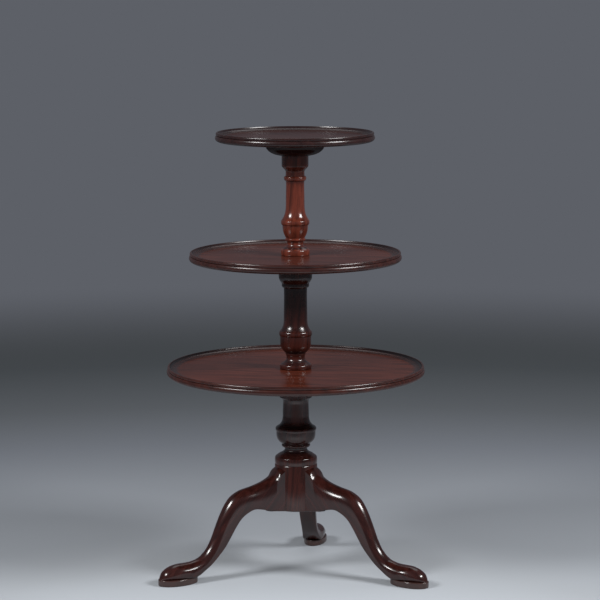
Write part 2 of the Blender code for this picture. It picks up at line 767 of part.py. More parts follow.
def build_legs(axis, wood, iron):
    screw = screw_mesh("brace_screw", BRACE_SCREW_LENGTH)
    for name, angle, reach in zip(LEG_NAMES, LEG_ANGLES, LEG_REACHES):
        leg = place_object("leg_" + name, leg_mesh(reach), wood, axis)
        leg.rotation_euler.z = angle
        for place_name, place in brace_screw_places():
            fixing = place_object(f"brace_screw_{name}_{place_name}", screw, iron, leg, place.translation)
            fixing.rotation_euler = place.to_euler()
    middle = place_object("brace_screw_middle", screw, iron, axis)
    middle.location.z = BRACE_TOP - BRACE_THICKNESS


def build():
    clear_scene()
    column_wood = finish("mahogany_column", (88, 40, 30), 0.22, 0)
    board_wood = finish("mahogany_board", (78, 40, 32), 0.24, 0)
    boss_wood = finish("mahogany_boss", (52, 28, 22), 0.35, 0)
    leg_wood = finish("mahogany_leg", (74, 34, 27), 0.22, 0)
    iron = finish("blackened_iron", (52, 50, 48), 0.55, 0.9)
    axis = bpy.data.objects.new("column_axis", None)
    axis.location.y = (LOWER_TIER_RADIUS - rear_extent()) / 2  # centres the table on the origin
    bpy.context.scene.collection.objects.link(axis)
    holes = hole_mesh("brace_holes", BRACE_SCREW_LENGTH, OVERRUN, brace_hole_places())
    brace_holes = place_cutter("brace_screw_holes", holes, axis)
    build_columns(axis, column_wood, brace_holes)
    build_legs(axis, leg_wood, iron)
    brace = place_object("leg_brace", brace_mesh(), iron, axis)
    combine(brace, brace_holes, "DIFFERENCE")
    for tier in TIERS:
        build_tier(tier, axis, board_wood, boss_wood, iron)


build()
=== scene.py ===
"""Dresses a mahogany dumb-waiter table: turned column, dished tiers, cabriole legs and ironwork."""

import math

import bmesh
import bpy
from bpy.props import FloatProperty, FloatVectorProperty, IntProperty, PointerProperty
from bpy.types import NodeSocket, Operator, Panel, PropertyGroup
from mathutils import Euler, Matrix, Vector


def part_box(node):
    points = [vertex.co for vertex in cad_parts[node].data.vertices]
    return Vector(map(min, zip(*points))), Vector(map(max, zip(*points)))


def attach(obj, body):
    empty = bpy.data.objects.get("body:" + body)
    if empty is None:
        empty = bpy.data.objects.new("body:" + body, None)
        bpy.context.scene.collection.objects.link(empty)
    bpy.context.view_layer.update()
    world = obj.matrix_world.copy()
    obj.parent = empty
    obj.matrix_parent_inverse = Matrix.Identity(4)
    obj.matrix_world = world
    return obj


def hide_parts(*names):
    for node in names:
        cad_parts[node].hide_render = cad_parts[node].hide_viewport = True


bl_info = {
    "name": "Dumb-waiter Table",
    "version": (1, 0, 0),
    "blender": (4, 5, 0),
    "location": "View3D > Sidebar > Dumb-waiter",
    "description": "Dresses a three-tier dumb-waiter table in French-polished mahogany",
    "category": "Object",
}

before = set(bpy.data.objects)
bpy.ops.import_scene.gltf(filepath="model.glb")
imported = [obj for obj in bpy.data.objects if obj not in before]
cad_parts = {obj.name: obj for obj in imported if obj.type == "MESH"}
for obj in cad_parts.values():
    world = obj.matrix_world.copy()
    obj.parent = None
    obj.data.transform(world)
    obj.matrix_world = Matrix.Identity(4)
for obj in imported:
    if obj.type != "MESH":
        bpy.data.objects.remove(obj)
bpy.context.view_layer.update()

# Fits between the pieces, and tolerances of the meshes
FIT = 0.0003
PIVOT_CLEARANCE = 0.0004
PIVOT_SEGMENTS = 24
MERGE_DISTANCE = 0.000001
SMOOTH_ANGLE = math.radians(38)

# Column sections: greatest radius, and the height of the foot and the head
PEDESTAL_BOTTOM = 0.149
DRUM_RADIUS = 0.0505
DRUM_TOP = 0.256
DRUM_EDGE = 0.003
LOWER_RADIUS = 0.0505
LOWER_HEAD = 0.4467
MIDDLE_RADIUS = 0.040
MIDDLE_FOOT = 0.4873
MIDDLE_HEAD = 0.7217
UPPER_RADIUS = 0.034
UPPER_FOOT = 0.7583
UPPER_HEAD = 0.9937
SPIGOT_LENGTH = 0.044
MIDDLE_SPIGOT_RADIUS = 0.0125
UPPER_SPIGOT_RADIUS = 0.0115
PIVOT_RADII = {"lower": 0.017, "middle": 0.0155, "top": 0.014}
TOP_PIVOT_END = 1.025

# Tiers and their bosses
RIM_HEIGHT = 0.022
RIM_WIDTH = 0.020
BOARD_THICKNESS = 0.014
BOSS_RADIUS = 0.071

# Old wax with painted shade and a painted sheen, and polish on the turned pieces
RIM_WAX_SHADE_AND_SHEEN = 0.55  # share of old wax, painted shade and a painted grey sheen over the wood of the rims
RECESS_WAX_AND_SHADE = 0.8  # share of old wax and painted shade over the wood of the deepest recesses
COVE_WAX_AND_SHADE_WIDTH = 0.009  # how far old wax and painted shade reach over the dish from the foot of the rim
RECESS_REACH = 0.006  # a place is a recess if something this near stands proud of it
RECESS_FILL_DEPTH = 0.0045  # depth over which a recess fills with wax and painted shade
RECESS_DARK_FROM = 0.25  # share of that depth where a duster still takes the wax away and no shade is painted
RECESS_DARKENING_POWER = 1.5  # power by which wax and painted shade gather with depth
BOSS_FILM = 0.4  # share of the polish on the bosses, which were hardly polished

# Grain: turns of the pattern, and seeds that make no two pieces alike
COLUMN_GRAIN_LEAN = math.radians(5)  # off the column's axis, as the blanks were sawn
LEG_GRAIN_FALL = math.radians(50)  # down the shin
FIRST_BOARD_TURN = math.radians(8)
BOARD_TURN_STEP = math.radians(3)  # each board lies a little off the one below it
FIRST_BOARD_SEED = 4
FIRST_LEG_SEED = 11

# Legs, in a frame with +X outwards along the leg and the column axis as origin
LEG_ROOT_WIDTH = 0.054
LEG_ROOT = math.sqrt(DRUM_RADIUS**2 - LEG_ROOT_WIDTH**2 / 4) + FIT
LEG_REACHES = {"rear": 0.320, "left": 0.362, "right": 0.362}
PAD_LENGTH = 0.099
PAD_WIDTH = 0.055
PAD_HEIGHT = 0.015
PAD_EDGE = 0.0022
PAD_FULLNESS_SHARE = 0.12
PAD_SEGMENTS = 72
PAD_EDGE_STEPS = 5
TOE_LENGTH = 0.0016  # of the rounding past a leg's last section
TOE_STEPS = 5
SCUFF_HEIGHT = 0.0165  # up to where mops and shoes have scuffed the pads
SCUFF_FADE = 0.003
SEAT_LENGTH = 0.040
SEAT_SLOPE_SHARE = 0.10
LEG_TURNS = {"rear": math.radians(82.5), "left": math.radians(210), "right": math.radians(330)}

# The column axis stands in the middle of the tiers.
AXIS = (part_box("lower_tier")[0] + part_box("lower_tier")[1]) / 2
AXIS.z = 0

# Turned outlines, bottom to top. Each row is the curve that leads to a point, and the point's share
# of the radius and of the height.
LOWER_SHARES = (
    ("line", 0.975, 0.010),
    ("to_upright", 1.000, 0.055),
    ("to_level", 0.950, 0.105),
    ("line", 0.800, 0.135),
    ("rising", 0.530, 0.192),
    ("line", 0.525, 0.212),
    ("to_level", 0.640, 0.226),
    ("to_upright", 0.672, 0.240),
    ("to_level", 0.640, 0.258),
    ("line", 0.672, 0.268),
    ("swift", 0.925, 0.425),
    ("to_upright", 0.963, 0.453),
    ("to_level", 0.873, 0.481),
    ("swift", 0.618, 0.660),
    ("line", 0.602, 0.775),
    ("to_level", 0.757, 0.850),
    ("line", 0.757, 0.880),
    ("to_upright", 0.800, 0.935),
    ("line", 0.800, 1.000),
)
MIDDLE_SHARES = (
    ("line", 0.900, 0.000),
    ("to_upright", 0.945, 0.020),
    ("to_level", 0.900, 0.045),
    ("rising", 0.545, 0.110),
    ("to_level", 0.600, 0.145),
    ("line", 0.600, 0.160),
    ("line", 0.630, 0.164),
    ("rising", 0.910, 0.250),
    ("line", 0.925, 0.335),
    ("to_upright", 0.980, 0.364),
    ("to_level", 0.900, 0.388),
    ("swift", 0.697, 0.560),
    ("line", 0.683, 0.740),
    ("line", 0.690, 0.825),
    ("to_upright", 0.812, 0.850),
    ("line", 0.808, 0.872),
    ("rising", 0.995, 0.945),
    ("line", 1.000, 1.000),
)
UPPER_SHARES = (
    ("line", 0.955, 0.000),
    ("to_upright", 1.000, 0.026),
    ("to_level", 0.955, 0.059),
    ("line", 0.905, 0.065),
    ("rising", 0.550, 0.112),
    ("to_level", 0.705, 0.153),
    ("line", 0.705, 0.165),
    ("line", 0.645, 0.173),
    ("rising", 0.890, 0.290),
    ("line", 0.900, 0.305),
    ("to_upright", 0.990, 0.330),
    ("to_level", 0.950, 0.352),
    ("swift", 0.650, 0.571),
    ("line", 0.632, 0.713),
    ("line", 0.645, 0.746),
    ("to_upright", 0.780, 0.777),
    ("to_level", 0.660, 0.795),
    ("line", 0.650, 0.838),
    ("ogee", 0.932, 0.901),
    ("line", 0.932, 1.000),
)
RIM_SHARES = (
    ("line", 0.400, 0.000),
    ("to_upright", 1.000, 0.360),
    ("to_level", 0.840, 0.660),
    ("line", 0.800, 0.680),
    ("to_upright", 0.910, 0.840),
    ("to_level", 0.780, 1.000),
    ("line", 0.660, 1.000),
)
BOSS_SHARES = (
    ("line", 0.000, 0.000),
    ("to_upright", 1.000, 0.850),
    ("line", 1.000, 1.000),
)
# How far each curve has gone across and up at a share t of its way
CURVES = {
    "line": lambda t: (t, t),
    "to_level": lambda t: (1 - math.cos(t * math.pi / 2), math.sin(t * math.pi / 2)),
    "to_upright": lambda t: (math.sin(t * math.pi / 2), 1 - math.cos(t * math.pi / 2)),
    "rising": lambda t: (1 - (1 - t) ** 2, t),
    "swift": lambda t: (1 - (1 - t) ** 4, t),
    "ogee": lambda t: ((1 - math.cos(t * math.pi)) / 2, t),
}

# Leg outline near the root: reach and height of the top, reach of the underside, width, crown
LEG_ROOT_SHARES = (
    (0.055, 0.972, 0.41, 1.000, 0.24),
    (0.100, 0.919, 0.71, 0.990, 0.30),
    (0.214, 0.868, 1.00, 0.980, 0.36),
)
# Knee to ankle: reach and height of the top, reach and height of the underside, width
LEG_SHAFT_SHARES = (
    (0.354, 0.832, 0.244, 0.617, 0.967),
    (0.488, 0.805, 0.353, 0.630, 0.934),
    (0.594, 0.755, 0.442, 0.600, 0.892),
    (0.666, 0.680, 0.514, 0.551, 0.842),
    (0.725, 0.587, 0.576, 0.476, 0.793),
    (0.780, 0.480, 0.630, 0.398, 0.754),
    (0.834, 0.370, 0.694, 0.310, 0.723),
    (0.897, 0.281, 0.769, 0.234, 0.707),
    (0.981, 0.217, 0.851, 0.166, 0.724),
    (1.078, 0.192, 0.944, 0.110, 0.791),
)
# Foot: the same, and the lower corner
LEG_FOOT_SHARES = (
    (0.375, 0.187, 0.031, 1.24, 0.858, 0.10),
    (0.575, 0.182, 0.156, 0.94, 0.922, 0.17),
    (0.755, 0.163, 0.499, 0.94, 0.898, 0.18),
    (0.884, 0.130, 0.741, 0.94, 0.748, 0.18),
    (0.950, 0.092, 0.860, 0.90, 0.520, 0.18),
    (0.985, 0.064, 0.930, 0.80, 0.260, 0.18),
)
ROOT_CROWN_SHARE = 0.20
CROWN_SHARE = 0.42
CROWN_LIMIT_SHARE = 0.55
CORNER_SHARE = 0.07
ARRIS_ANGLE = math.radians(20)
CROWN_STEPS = 12
CORNER_STEPS = 4


# What a user would change


def linear(code):
    """An sRGB hex colour as a linear colour with alpha."""
    channels = (int(code[place : place + 2], 16) / 255 for place in (1, 3, 5))
    return (*(c / 12.92 if c <= 0.04045 else ((c + 0.055) / 1.055) ** 2.4 for c in channels), 1)


def colour_property(name, description, code):
    """A colour that a user can change, given as an sRGB hex code."""
    return FloatVectorProperty(
        name=name,
        description=description,
        subtype="COLOR",
        size=3,
        min=0,
        max=1,
        default=linear(code)[:3],
    )


class MahoganySettings(PropertyGroup):
    upper_light: colour_property("Upper Column", "Lightest streaks of the column's upper section", "#713527")
    # Lower sections: partly painted shade, darker than the upper section for the shade under the tiers.
    lower_light_with_painted_shade: colour_property("Lower Column", "Lightest streaks of the sections below", "#431e18")
    leg_light: colour_property("Legs", "Lightest streaks of the legs", "#3a1a16")
    boss_light: colour_property("Bosses", "Lightest streaks of the blocks under the tiers", "#331814")
    # Tiers differ partly by their wood, partly by painted light: top tier painted darker, lower tier lighter.
    lower_board: colour_property("Lower Tier", "Lightest streaks of the lower tier", "#602e21")
    middle_board: colour_property("Middle Tier", "Lightest streaks of the middle tier", "#592e25")
    top_board: colour_property("Top Tier", "Lightest streaks of the top tier", "#452723")
    figure_depth: FloatProperty(
        name="Dark Figure",
        description="Brightness of the darkest streaks as a share of the lightest",
        subtype="FACTOR",
        min=0,
        max=1,
        default=0.35,
    )
    board_film: FloatProperty(
        name="Tier Polish",
        description="How much of the polish the worn tiers have kept",
        subtype="FACTOR",
        min=0,
        max=1,
        default=0.58,
    )
    streak: FloatProperty(
        name="Streak Width",
        description="Width of one streak of the figure, across the grain",
        subtype="DISTANCE",
        unit="LENGTH",
        min=0.001,
        max=0.1,
        default=0.009,
    )
    polish_roughness: FloatProperty(
        name="Polish Roughness",
        description="Roughness of the French polish over the wood",
        subtype="FACTOR",
        min=0,
        max=1,
        default=0.19,
    )


class TurningSettings(PropertyGroup):
    segments: IntProperty(
        name="Segments",
        description="Faces round each turned piece",
        min=24,
        max=256,
        default=128,
    )
    steps: IntProperty(
        name="Curve Steps",
        description="Points along each curve of a turned outline",
        min=2,
        max=16,
        default=7,
    )
    leg_steps: IntProperty(
        name="Leg Steps",
        description="Rings between two stations of a leg",
        min=1,
        max=8,
        default=4,
    )


class StudioSettings(PropertyGroup):
    azimuth: FloatProperty(
        name="Camera Azimuth",
        description="Turn of the camera round the table from straight in front",
        subtype="ANGLE",
        unit="ROTATION",
        default=math.radians(2.5),
    )
    distance: FloatProperty(
        name="Camera Distance",
        description="Distance of the camera from the column, over the floor",
        subtype="DISTANCE",
        unit="LENGTH",
        min=1,
        default=5.939,
    )
    height: FloatProperty(
        name="Camera Height",
        description="Height of the camera above the floor",
        subtype="DISTANCE",
        unit="LENGTH",
        min=0.1,
        default=1.515,
    )
    lamp_radiance: FloatProperty(
        name="Softbox Radiance",
        description="Brightness of the softboxes as a polished surface mirrors them",
        min=0,
        default=33,
    )
    world_strength: FloatProperty(
        name="Fill Strength",
        description="Brightness of the even light from all sides",
        min=0,
        default=0.05,
    )


# Shared tools


def add_node(tree, kind, inputs=None, **settings):
    """Adds a node. An input's value is a socket to link from, or a constant."""
    node = tree.nodes.new("ShaderNode" + kind)
    for name, value in settings.items():
        setattr(node, name, value)
    for name, value in (inputs or {}).items():
        if isinstance(value, NodeSocket):
            tree.links.new(value, node.inputs[name])
        else:
            node.inputs[name].default_value = value
    return node


def new_material(name):
    """A material, with its tree and its shader."""
    material = bpy.data.materials.new(name)
    material.use_nodes = True
    tree = material.node_tree
    return material, tree, tree.nodes["Principled BSDF"]


def finished_object(name, bm, material):
    """Turns a bmesh into a smooth-shaded object at the origin."""
    bmesh.ops.remove_doubles(bm, verts=bm.verts, dist=MERGE_DISTANCE)
    bmesh.ops.recalc_face_normals(bm, faces=bm.faces)
    mesh = bpy.data.meshes.new(name)
    bm.to_mesh(mesh)
    bm.free()
    mesh.shade_smooth()
    mesh.set_sharp_from_angle(angle=SMOOTH_ANGLE)
    mesh.materials.append(material)
    obj = bpy.data.objects.new(name, mesh)
    bpy.context.scene.collection.objects.link(obj)
    return obj


def stand_for(obj, node, body):
    """Puts an object in a CAD node's place, on that node's body."""
    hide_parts(node)
    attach(obj, body)


# Materials

# Sizes of the wood's pattern
STREAK_LENGTH = 0.15
LINE_LENGTH = 0.06
LINE_WIDTH = 0.0016
PORE_LENGTH = 0.009
PORE_WIDTH = 0.0006  # 0.2 mm in the real wood, drawn wider so that it shows
DRIFT_SCALE = 9.0  # to a metre: the grain wanders over a hand's breadth
DRIFT_REACH = 0.012  # how far it wanders sideways at most
SWELL_SCALE = 28.0  # to a metre: the polish rises and falls over a thumb's width
SWELL_DEPTH = 0.0006
PORE_DEPTH = 0.0002
FINE_LINE_TONE = 0.12
WAX_DULLING = 0.12  # how much rougher a face of old wax is than the polish
PORE_DIRT = "#1a0a07"
# Dark grey-purple old wax: also painted shade in recesses and on rims, and a painted grey sheen on the rims
WAX_SHADE_AND_SHEEN = "#1a1113"
SCUFFED_WOOD = "#4a3834"

# Patterns of the iron, to a metre: blooms of rust 7 mm across and hammer marks 4 mm across
BLOOM_SCALE = 140.0
HAMMER_SCALE = 260.0
HAMMER_DEPTH = 0.0004


def polished_mahogany(name, turn, centre, light, seed=0.0, film=1.0, waxed_film=1.0, scuffed=False):
    """French-polished mahogany: dark streaks in red-brown wood under a glassy film of shellac.

    The grain runs along X once turn and centre have placed the pattern. Old wax and painted shade lie dark
    in the recesses of the turnings, and on the rims with a painted grey sheen. The two shares of film are the
    polish kept on the bare wood and on the waxed wood.
    Scuffed wood is paler and duller just above the floor.
    """
    wood = bpy.context.scene.dumbwaiter_mahogany
    material, tree, shader = new_material(name)
    place = add_node(tree, "TexCoord").outputs["Object"]
    turned = add_node(
        tree,
        "Mapping",
        {"Vector": place, "Location": centre, "Rotation": turn},
        vector_type="POINT",
    ).outputs["Vector"]
    drift = add_node(
        tree,
        "TexNoise",
        {"Vector": turned, "Scale": DRIFT_SCALE, "Detail": 2.0, "W": seed},
        noise_dimensions="4D",
    )
    wander = add_node(
        tree,
        "VectorMath",
        {0: drift.outputs["Color"], 1: (0.0, DRIFT_REACH, DRIFT_REACH)},
        operation="MULTIPLY",
    )
    grain = add_node(tree, "VectorMath", {0: turned, 1: wander.outputs[0]}, operation="ADD").outputs[0]

    def stretched(length, width):
        """Coordinates that make one wave of noise this long and wide."""
        return add_node(
            tree,
            "VectorMath",
            {0: grain, 1: (1 / length, 1 / width, 1 / width)},
            operation="MULTIPLY",
        ).outputs[0]

    def waves(length, width, detail, roughness=0.5):
        """Noise from 0 to 1 in waves that lie along the grain."""
        return add_node(
            tree,
            "TexNoise",
            {
                "Vector": stretched(length, width),
                "Scale": 1.0,
                "Detail": detail,
                "Roughness": roughness,
                "W": seed,
            },
            noise_dimensions="4D",
        ).outputs["Fac"]

    # Broad streaks of the figure, fine lines between them, and pores
    figure = waves(STREAK_LENGTH, wood.streak, 3.0, 0.55)
    lines = waves(LINE_LENGTH, LINE_WIDTH, 2.0, 0.6)
    pores = waves(PORE_LENGTH, PORE_WIDTH, 1.0)
    streaks = add_node(
        tree,
        "MapRange",
        {"Value": figure, "From Min": 0.3, "From Max": 0.7, "To Min": 0.05, "To Max": 0.95},
        interpolation_type="SMOOTHSTEP",
    ).outputs["Result"]
    fine = add_node(
        tree,
        "MapRange",
        {
            "Value": lines,
            "From Min": 0.3,
            "From Max": 0.7,
            "To Min": -FINE_LINE_TONE,
            "To Max": FINE_LINE_TONE,
        },
    ).outputs["Result"]
    tone = add_node(tree, "Math", {0: streaks, 1: fine}, operation="ADD", use_clamp=True).outputs[0]
    wood_colour = add_node(
        tree,
        "Mix",
        {"Factor": tone, 6: (*(wood.figure_depth * channel for channel in light), 1), 7: (*light, 1)},
        data_type="RGBA",
    ).outputs[2]
    pore_mask = add_node(
        tree,
        "MapRange",
        {"Value": pores, "From Min": 0.58, "From Max": 0.70, "To Min": 0.0, "To Max": 0.45},
    ).outputs["Result"]
    filled = add_node(
        tree,
        "Mix",
        {"Factor": pore_mask, 6: wood_colour, 7: linear(PORE_DIRT)},
        data_type="RGBA",
    ).outputs[2]
    # Old wax and painted shade, with a painted grey sheen on the rims
    patina = add_node(tree, "Attribute", attribute_name="patina").outputs["Fac"]
    darkened = add_node(
        tree,
        "Mix",
        {"Factor": patina, 6: filled, 7: linear(WAX_SHADE_AND_SHEEN)},
        data_type="RGBA",
    ).outputs[2]
    if scuffed:
        height = add_node(tree, "SeparateXYZ", {"Vector": place}).outputs["Z"]
        worn = add_node(
            tree,
            "MapRange",
            {
                "Value": height,
                "From Min": SCUFF_HEIGHT,
                "From Max": SCUFF_HEIGHT - SCUFF_FADE,
                "To Max": 0.5,
            },
        ).outputs["Result"]
        darkened = add_node(
            tree, "Mix", {"Factor": worn, 6: darkened, 7: linear(SCUFFED_WOOD)}, data_type="RGBA"
        ).outputs[2]
    kept = add_node(
        tree, "MapRange", {"Value": patina, "To Min": film, "To Max": waxed_film}
    ).outputs["Result"]
    dulled = add_node(
        tree,
        "MapRange",
        {
            "Value": patina,
            "To Min": wood.polish_roughness,
            "To Max": wood.polish_roughness + WAX_DULLING,
        },
    ).outputs["Result"]
    # The film isn't quite flat: it swells a little all over, and the wood under it sinks at its pores.
    rises = add_node(
        tree, "TexNoise", {"Vector": turned, "Scale": SWELL_SCALE, "Detail": 1.0}
    ).outputs["Fac"]
    swell = add_node(
        tree,
        "Bump",
        {"Height": rises, "Strength": 0.1, "Distance": SWELL_DEPTH},
    ).outputs["Normal"]
    sunk = add_node(
        tree,
        "Bump",
        {"Height": pores, "Strength": 0.12, "Distance": PORE_DEPTH, "Normal": swell},
    ).outputs["Normal"]
    tree.links.new(darkened, shader.inputs["Base Color"])
    tree.links.new(sunk, shader.inputs["Normal"])
    tree.links.new(swell, shader.inputs["Coat Normal"])
    tree.links.new(kept, shader.inputs["Coat Weight"])
    tree.links.new(dulled, shader.inputs["Coat Roughness"])
    # Shellac bends light as much as the wood under it does, so only the film's upper face mirrors.
    shader.inputs["Specular IOR Level"].default_value = 0.0
    shader.inputs["Coat IOR"].default_value = 1.55
    return material


def blackened_iron():
    """Wrought iron blackened with oil and beeswax.

    It is nearly black and half matt, with a bloom of brown rust and shallow hammer marks.
    """
    material, tree, shader = new_material("blackened_wrought_iron")
    place = add_node(tree, "TexCoord").outputs["Object"]
    bloom = add_node(tree, "TexNoise", {"Vector": place, "Scale": BLOOM_SCALE, "Detail": 5.0}).outputs["Fac"]
    marks = add_node(tree, "TexVoronoi", {"Vector": place, "Scale": HAMMER_SCALE}).outputs["Distance"]
    mask = add_node(
        tree,
        "MapRange",
        {"Value": bloom, "From Min": 0.50, "From Max": 0.72, "To Min": 0.0, "To Max": 0.7},
    ).outputs["Result"]
    colour = add_node(
        tree,
        "Mix",
        {"Factor": mask, 6: linear("#37342f"), 7: linear("#4b3020")},
        data_type="RGBA",
    ).outputs[2]
    rough = add_node(
        tree,
        "MapRange",
        {"Value": bloom, "From Min": 0.3, "From Max": 0.7, "To Min": 0.42, "To Max": 0.68},
    ).outputs["Result"]
    bumped = add_node(
        tree, "Bump", {"Height": marks, "Strength": 0.35, "Distance": HAMMER_DEPTH}
    ).outputs["Normal"]
    tree.links.new(colour, shader.inputs["Base Color"])
    tree.links.new(rough, shader.inputs["Roughness"])
    tree.links.new(bumped, shader.inputs["Normal"])
    shader.inputs["Metallic"].default_value = 0.85
    return material


# Turned pieces


def moulding(kind, start, end, steps):
    """Points after start, up to end, of one curve of a turned outline."""
    steps = 1 if kind == "line" else steps
    for step in range(1, steps + 1):
        across, up = CURVES[kind](step / steps)
        yield (start[0] + across * (end[0] - start[0]), start[1] + up * (end[1] - start[1]))


def turning(shares, inner_radius, outer_radius, foot, head, steps):
    """Outline points of a table of shares, between two radii and two heights."""
    outline = []
    for kind, across, up in shares:
        end = (inner_radius + across * (outer_radius - inner_radius), foot + up * (head - foot))
        if outline:
            outline += moulding(kind, outline[-1], end, steps)
        else:
            outline.append(end)
    return outline


def recess_depths(outline):
    """For each outline point, how much wax and painted shade its recess holds, from none at 0 to all it can
    at 1.
    """
    depths = []
    for radius, height in outline:
        near = [r for r, z in outline if abs(z - height) < RECESS_REACH and 0 < r < radius + RECESS_REACH]
        proud = max(near, default=radius) - radius
        kept = min(max(proud / RECESS_FILL_DEPTH - RECESS_DARK_FROM, 0), 1)
        depths.append(kept**RECESS_DARKENING_POWER if radius > 0 else 0)
    return depths


def turned_object(name, outline, material, darkened_from=math.inf):
    """Spins an outline round the column axis. It either starts and ends on the axis or is a loop.

    Old wax and painted shade darken its recesses, and the whole of it from one radius outwards, there with a
    painted sheen.
    """
    segments = bpy.context.scene.dumbwaiter_turning.segments
    bm = bmesh.new()
    layer = bm.verts.layers.float.new("patina")
    verts = [bm.verts.new((AXIS.x + radius, AXIS.y, height)) for radius, height in outline]
    for vert, depth in zip(verts, recess_depths(outline)):
        darkened = vert.co.x - AXIS.x > darkened_from
        # Painted shade and old wax in recesses; on the rims also a painted grey sheen
        vert[layer] = max(RECESS_WAX_AND_SHADE * depth, RIM_WAX_SHADE_AND_SHEEN if darkened else 0)
    pairs = list(zip(verts, verts[1:]))
    if outline[0][0] > 0:
        pairs.append((verts[-1], verts[0]))
    edges = [bm.edges.new(pair) for pair in pairs]
    bmesh.ops.spin(
        bm,
        geom=verts + edges,
        cent=AXIS,
        axis=(0, 0, 1),
        angle=2 * math.pi,
        steps=segments,
        use_merge=True,
    )
    return finished_object(name, bm, material)


def bored(radius, clearance):
    """Radius of the frame's faceted bore for a pin of this radius."""
    return (radius + clearance) / math.cos(math.pi / PIVOT_SEGMENTS)


def socket(radius, head):
    """Outline of a spigot's blind socket, from its mouth to its floor."""
    bore = bored(radius, FIT)
    floor = head - SPIGOT_LENGTH - FIT
    return [(bore, head), (bore, floor), (0, floor)]


def spigot(radius, pivot_radius, head_below, foot):
    """Outline from a spigot's end, round the pivot above it, to the section's foot."""
    shoulder = head_below + FIT
    end = shoulder - SPIGOT_LENGTH
    return [(0, end), (radius, end), (radius, shoulder), (pivot_radius, shoulder), (pivot_radius, foot)]


class DUMBWAITER_OT_turn_column(Operator):
    """Turn the three sections of the column"""

    bl_idname = "dumbwaiter.turn_column"
    bl_label = "Turn Column"

    def execute(self, context):
        steps = context.scene.dumbwaiter_turning.steps
        wood = context.scene.dumbwaiter_mahogany
        upright = (0, math.pi / 2 - COLUMN_GRAIN_LEAN, 0)
        drum = [(0, PEDESTAL_BOTTOM), (DRUM_RADIUS - DRUM_EDGE, PEDESTAL_BOTTOM)]
        drum += moulding("to_upright", drum[-1], (DRUM_RADIUS, PEDESTAL_BOTTOM + DRUM_EDGE), steps)
        drum += [(DRUM_RADIUS, DRUM_TOP)]
        lower = drum + turning(LOWER_SHARES, 0, LOWER_RADIUS, DRUM_TOP, LOWER_HEAD, steps)
        lower += socket(MIDDLE_SPIGOT_RADIUS, LOWER_HEAD)
        middle = spigot(MIDDLE_SPIGOT_RADIUS, PIVOT_RADII["lower"], LOWER_HEAD, MIDDLE_FOOT)
        middle += turning(MIDDLE_SHARES, 0, MIDDLE_RADIUS, MIDDLE_FOOT, MIDDLE_HEAD, steps)
        middle += socket(UPPER_SPIGOT_RADIUS, MIDDLE_HEAD)
        upper = spigot(UPPER_SPIGOT_RADIUS, PIVOT_RADII["middle"], MIDDLE_HEAD, UPPER_FOOT)
        upper += turning(UPPER_SHARES, 0, UPPER_RADIUS, UPPER_FOOT, UPPER_HEAD, steps)
        pivot = PIVOT_RADII["top"]
        upper += [(pivot, UPPER_HEAD), (pivot, TOP_PIVOT_END), (0, TOP_PIVOT_END)]
        sections = (
            ("lower", lower, wood.lower_light_with_painted_shade),
            ("middle", middle, wood.lower_light_with_painted_shade),
            ("upper", upper, wood.upper_light),
        )
        for seed, (name, outline, light) in enumerate(sections):
            material = polished_mahogany(
                f"polished_mahogany_{name}_column", upright, (0, -AXIS.y, 0), light, seed=seed
            )
            column = turned_object(f"turned_{name}_column", outline, material)
            stand_for(column, f"{name}_column", "stand")
        return {"FINISHED"}


class DUMBWAITER_OT_turn_tiers(Operator):
    """Turn the three dished tiers and the bosses under them"""

    bl_idname = "dumbwaiter.turn_tiers"
    bl_label = "Turn Tiers"

    def execute(self, context):
        wood = context.scene.dumbwaiter_mahogany
        feet = {
            "lower": LOWER_SHARES[-1][1] * LOWER_RADIUS,
            "middle": MIDDLE_SHARES[-1][1] * MIDDLE_RADIUS,
            "top": UPPER_SHARES[-1][1] * UPPER_RADIUS,
        }
        for seed, (name, pivot) in enumerate(PIVOT_RADII.items(), FIRST_BOARD_SEED):
            turn = (0, 0, FIRST_BOARD_TURN + (seed - FIRST_BOARD_SEED) * BOARD_TURN_STEP)
            board_wood = polished_mahogany(
                f"polished_mahogany_{name}_board",
                turn,
                (0, -AXIS.y, 0),
                getattr(wood, f"{name}_board"),
                seed=seed,
                film=wood.board_film,
            )
            boss_wood = polished_mahogany(
                f"polished_mahogany_{name}_boss",
                turn,
                (0, -AXIS.y, 0),
                wood.boss_light,
                seed=seed + len(PIVOT_RADII),
                film=BOSS_FILM,
                waxed_film=BOSS_FILM,
            )
            self.turn_board(name, 0 if name == "top" else bored(pivot, PIVOT_CLEARANCE), board_wood)
            self.turn_boss(name, bored(pivot, PIVOT_CLEARANCE), feet[name], boss_wood)
        return {"FINISHED"}

    def turn_board(self, name, bore, material):
        """One dished tier, turned from a single board with its rim."""
        steps = bpy.context.scene.dumbwaiter_turning.steps
        low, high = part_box(f"{name}_tier")
        outer = (high.x - low.x) / 2
        inner = outer - RIM_WIDTH
        rim = turning(RIM_SHARES, inner, outer, low.z, low.z + RIM_HEIGHT, steps)
        floor = low.z + BOARD_THICKNESS
        dish = moulding("to_level", rim[-1], (inner, floor), steps)
        outline = [(bore, low.z), *rim, *dish, (inner - COVE_WAX_AND_SHADE_WIDTH, floor), (bore, floor)]
        # The rim and a band of dish at its foot darken: old wax with painted shade, and a painted grey sheen
        # on the rim.
        darkened_from = inner + MERGE_DISTANCE
        board = turned_object(f"dished_{name}_tier", outline, material, darkened_from=darkened_from)
        stand_for(board, f"{name}_tier", f"{name}_turntable")

    def turn_boss(self, name, bore, foot_radius, material):
        """The block that carries a tier, spread from the foot of the pivot's column section."""
        steps = bpy.context.scene.dumbwaiter_turning.steps
        low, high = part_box(f"{name}_tier_boss")
        turned = turning(BOSS_SHARES, foot_radius, BOSS_RADIUS, low.z, high.z, steps)
        boss = turned_object(f"turned_{name}_boss", [(bore, low.z), *turned, (bore, high.z)], material)
        stand_for(boss, f"{name}_tier_boss", f"{name}_turntable")


# Legs


